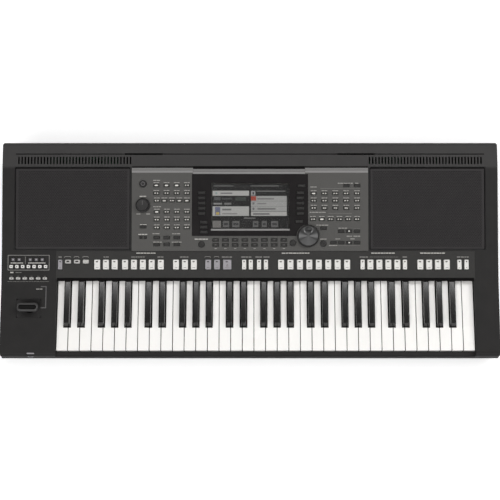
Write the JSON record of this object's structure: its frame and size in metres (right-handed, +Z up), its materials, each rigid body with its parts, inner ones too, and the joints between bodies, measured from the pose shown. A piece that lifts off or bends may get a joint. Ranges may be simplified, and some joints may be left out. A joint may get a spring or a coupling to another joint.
{
  "type": "arranger keyboard",
  "caption": "Black arranger keyboard with full-size sprung keys, a sloping button strip, a raised control panel with a display, side speakers and a joystick.",
  "frame": {"origin": "centre of the footprint on the table under the feet", "axes": "+X along the keys towards the high notes, +Y from the player to the back, +Z up"},
  "size_m": [1.01, 0.432, 0.1318],
  "materials": {
    "case_plastic": "fine textured black moulding",
    "strip_plastic": "satin black moulding",
    "panel_paint": "satin dark grey paint",
    "bezel_gloss": "polished black",
    "window": "clear polished",
    "screen": "lit display",
    "grille": "matt black over fine mesh",
    "board": "green lacquer",
    "speaker_iron": "black lacquer",
    "cone_paper": "pressed paper",
    "bed_steel": "plated sheet",
    "bright_steel": "bright plated",
    "rubber": "matt",
    "felt": "pressed felt",
    "sink_aluminium": "extruded",
    "socket_plastic": "moulded black",
    "well_plastic": "moulded black",
    "lever_plastic": "soft touch black",
    "knob_plastic": "satin dark grey",
    "dark_button": "satin black",
    "white_button": "satin off-white",
    "grey_button": "satin lilac grey",
    "lit_button": "translucent white",
    "white_key": "polished warm white",
    "black_key": "satin black"
  },
  "bodies": {
    "case": {"lower_case": "case_plastic", "upper_case": "case_plastic", "button_strip": "strip_plastic", "strip_board": "board", "control_panel": "panel_paint", "panel_board": "board", "display_bezel": "bezel_gloss", "display_window": "window", "display_module": "screen", "speaker_grilles": "grille", "speaker_boxes": "case_plastic", "woofer_frames": "speaker_iron", "woofer_cones": "cone_paper", "tweeters": "speaker_iron", "keybed_frame": "bed_steel", "key_pivot_rod": "bright_steel", "key_contact_board": "board", "key_contact_rubber": "rubber", "key_stop_felts": "felt", "main_board": "board", "power_board": "board", "heatsink": "sink_aluminium", "audio_jacks": "socket_plastic", "data_sockets": "socket_plastic", "power_inlet": "socket_plastic", "headphone_jack": "socket_plastic", "rubber_feet": "rubber", "case_screws": "bright_steel", "joystick_housing": "well_plastic"},
    "keys_c": {"keys_c": "white_key"},
    "keys_c_sharp": {"keys_c_sharp": "black_key"},
    "keys_d": {"keys_d": "white_key"},
    "keys_d_sharp": {"keys_d_sharp": "black_key"},
    "keys_e": {"keys_e": "white_key"},
    "keys_f": {"keys_f": "white_key"},
    "keys_f_sharp": {"keys_f_sharp": "black_key"},
    "keys_g": {"keys_g": "white_key"},
    "keys_g_sharp": {"keys_g_sharp": "black_key"},
    "keys_a": {"keys_a": "white_key"},
    "keys_a_sharp": {"keys_a_sharp": "black_key"},
    "keys_b": {"keys_b": "white_key"},
    "style_buttons": {"style_buttons": "white_button"},
    "grey_strip_buttons": {"grey_strip_buttons": "grey_button"},
    "narrow_strip_buttons": {"narrow_strip_buttons": "white_button"},
    "registration_buttons": {"registration_buttons": "white_button"},
    "part_buttons": {"part_buttons": "white_button"},
    "one_touch_buttons": {"one_touch_buttons": "white_button"},
    "scale_note_buttons": {"scale_note_buttons": "white_button"},
    "scale_memory_buttons": {"scale_memory_buttons": "white_button"},
    "style_select_buttons": {"style_select_buttons": "lit_button"},
    "left_function_buttons": {"left_function_buttons": "dark_button"},
    "voice_select_buttons": {"voice_select_buttons": "lit_button"},
    "right_function_buttons": {"right_function_buttons": "dark_button"},
    "display_side_buttons": {"display_side_buttons": "dark_button"},
    "display_buttons": {"display_buttons": "dark_button"},
    "power_button": {"power_button": "dark_button"},
    "joystick_gimbal": {"joystick_gimbal": "well_plastic"},
    "joystick_lever": {"joystick_lever": "lever_plastic"},
    "volume_knob": {"volume_knob": "knob_plastic"},
    "data_dial": {"data_dial": "knob_plastic"}
  },
  "joints": [
    {"name": "key_c_swing", "type": "hinge", "parent": "case", "child": "keys_c", "pos_m": [0, -0.016, 0.05874], "axis": [1, 0, 0], "range_deg": [0, 3], "stiffness_Nm_per_rad": 12, "springref_deg": -4.01},
    {"name": "key_c_sharp_swing", "type": "hinge", "parent": "case", "child": "keys_c_sharp", "pos_m": [0, -0.016, 0.05874], "axis": [1, 0, 0], "range_deg": [0, 3], "stiffness_Nm_per_rad": 12, "springref_deg": -4.01},
    {"name": "key_d_swing", "type": "hinge", "parent": "case", "child": "keys_d", "pos_m": [0, -0.016, 0.05874], "axis": [1, 0, 0], "range_deg": [0, 3], "stiffness_Nm_per_rad": 12, "springref_deg": -4.01},
    {"name": "key_d_sharp_swing", "type": "hinge", "parent": "case", "child": "keys_d_sharp", "pos_m": [0, -0.016, 0.05874], "axis": [1, 0, 0], "range_deg": [0, 3], "stiffness_Nm_per_rad": 12, "springref_deg": -4.01},
    {"name": "key_e_swing", "type": "hinge", "parent": "case", "child": "keys_e", "pos_m": [0, -0.016, 0.05874], "axis": [1, 0, 0], "range_deg": [0, 3], "stiffness_Nm_per_rad": 12, "springref_deg": -4.01},
    {"name": "key_f_swing", "type": "hinge", "parent": "case", "child": "keys_f", "pos_m": [0, -0.016, 0.05874], "axis": [1, 0, 0], "range_deg": [0, 3], "stiffness_Nm_per_rad": 12, "springref_deg": -4.01},
    {"name": "key_f_sharp_swing", "type": "hinge", "parent": "case", "child": "keys_f_sharp", "pos_m": [0, -0.016, 0.05874], "axis": [1, 0, 0], "range_deg": [0, 3], "stiffness_Nm_per_rad": 12, "springref_deg": -4.01},
    {"name": "key_g_swing", "type": "hinge", "parent": "case", "child": "keys_g", "pos_m": [0, -0.016, 0.05874], "axis": [1, 0, 0], "range_deg": [0, 3], "stiffness_Nm_per_rad": 12, "springref_deg": -4.01},
    {"name": "key_g_sharp_swing", "type": "hinge", "parent": "case", "child": "keys_g_sharp", "pos_m": [0, -0.016, 0.05874], "axis": [1, 0, 0], "range_deg": [0, 3], "stiffness_Nm_per_rad": 12, "springref_deg": -4.01},
    {"name": "key_a_swing", "type": "hinge", "parent": "case", "child": "keys_a", "pos_m": [0, -0.016, 0.05874], "axis": [1, 0, 0], "range_deg": [0, 3], "stiffness_Nm_per_rad": 12, "springref_deg": -4.01},
    {"name": "key_a_sharp_swing", "type": "hinge", "parent": "case", "child": "keys_a_sharp", "pos_m": [0, -0.016, 0.05874], "axis": [1, 0, 0], "range_deg": [0, 3], "stiffness_Nm_per_rad": 12, "springref_deg": -4.01},
    {"name": "key_b_swing", "type": "hinge", "parent": "case", "child": "keys_b", "pos_m": [0, -0.016, 0.05874], "axis": [1, 0, 0], "range_deg": [0, 3], "stiffness_Nm_per_rad": 12, "springref_deg": -4.01},
    {"name": "style_buttons_press", "type": "slide", "parent": "case", "child": "style_buttons", "axis": [0, 0.1577, -0.9875], "range_m": [0, 0.0012], "stiffness_N_per_m": 600, "springref_m": -0.003},
    {"name": "grey_strip_buttons_press", "type": "slide", "parent": "case", "child": "grey_strip_buttons", "axis": [0, 0.1577, -0.9875], "range_m": [0, 0.0012], "stiffness_N_per_m": 600, "springref_m": -0.003},
    {"name": "narrow_strip_buttons_press", "type": "slide", "parent": "case", "child": "narrow_strip_buttons", "axis": [0, 0.1577, -0.9875], "range_m": [0, 0.0012], "stiffness_N_per_m": 600, "springref_m": -0.003},
    {"name": "registration_buttons_press", "type": "slide", "parent": "case", "child": "registration_buttons", "axis": [0, 0.1577, -0.9875], "range_m": [0, 0.0012], "stiffness_N_per_m": 600, "springref_m": -0.003},
    {"name": "part_buttons_press", "type": "slide", "parent": "case", "child": "part_buttons", "axis": [0, 0.1577, -0.9875], "range_m": [0, 0.0012], "stiffness_N_per_m": 600, "springref_m": -0.003},
    {"name": "one_touch_buttons_press", "type": "slide", "parent": "case", "child": "one_touch_buttons", "axis": [0, 0.1577, -0.9875], "range_m": [0, 0.0012], "stiffness_N_per_m": 600, "springref_m": -0.003},
    {"name": "scale_note_buttons_press", "type": "slide", "parent": "case", "child": "scale_note_buttons", "axis": [0, 0.1577, -0.9875], "range_m": [0, 0.0008], "stiffness_N_per_m": 600, "springref_m": -0.003},
    {"name": "scale_memory_buttons_press", "type": "slide", "parent": "case", "child": "scale_memory_buttons", "axis": [0, 0.1577, -0.9875], "range_m": [0, 0.0008], "stiffness_N_per_m": 600, "springref_m": -0.003},
    {"name": "style_select_buttons_press", "type": "slide", "parent": "case", "child": "style_select_buttons", "axis": [0, 0.1905, -0.9817], "range_m": [0, 0.0012], "stiffness_N_per_m": 600, "springref_m": -0.003},
    {"name": "left_function_buttons_press", "type": "slide", "parent": "case", "child": "left_function_buttons", "axis": [0, 0.1905, -0.9817], "range_m": [0, 0.0012], "stiffness_N_per_m": 600, "springref_m": -0.003},
    {"name": "voice_select_buttons_press", "type": "slide", "parent": "case", "child": "voice_select_buttons", "axis": [0, 0.1905, -0.9817], "range_m": [0, 0.0012], "stiffness_N_per_m": 600, "springref_m": -0.003},
    {"name": "right_function_buttons_press", "type": "slide", "parent": "case", "child": "right_function_buttons", "axis": [0, 0.1905, -0.9817], "range_m": [0, 0.0012], "stiffness_N_per_m": 600, "springref_m": -0.003},
    {"name": "display_side_buttons_press", "type": "slide", "parent": "case", "child": "display_side_buttons", "axis": [0, 0.1905, -0.9817], "range_m": [0, 0.0012], "stiffness_N_per_m": 600, "springref_m": -0.003},
    {"name": "display_buttons_press", "type": "slide", "parent": "case", "child": "display_buttons", "axis": [0, 0.1905, -0.9817], "range_m": [0, 0.0012], "stiffness_N_per_m": 600, "springref_m": -0.003},
    {"name": "power_button_press", "type": "slide", "parent": "case", "child": "power_button", "axis": [0, 0.1905, -0.9817], "range_m": [0, 0.0012], "stiffness_N_per_m": 600, "springref_m": -0.003},
    {"name": "joystick_sideways", "type": "hinge", "parent": "case", "child": "joystick_gimbal", "pos_m": [-0.4475, -0.11922, 0.06635], "axis": [0, 0.9982, 0.0592], "range_deg": [-14, 14], "stiffness_Nm_per_rad": 0.35},
    {"name": "joystick_fore_aft", "type": "hinge", "parent": "joystick_gimbal", "child": "joystick_lever", "pos_m": [-0.4475, -0.11922, 0.06635], "axis": [1, 0, 0], "range_deg": [-14, 14], "stiffness_Nm_per_rad": 0.35},
    {"name": "volume_turn", "type": "hinge", "parent": "case", "child": "volume_knob", "pos_m": [-0.2179, 0.08588, 0.11581], "axis": [0, -0.1905, 0.9817], "range_deg": [-140, 140]},
    {"name": "dial_spin", "type": "hinge", "parent": "case", "child": "data_dial", "pos_m": [0.11818, 0.02432, 0.10387], "axis": [0, -0.1905, 0.9817], "continuous": true}
  ]
}
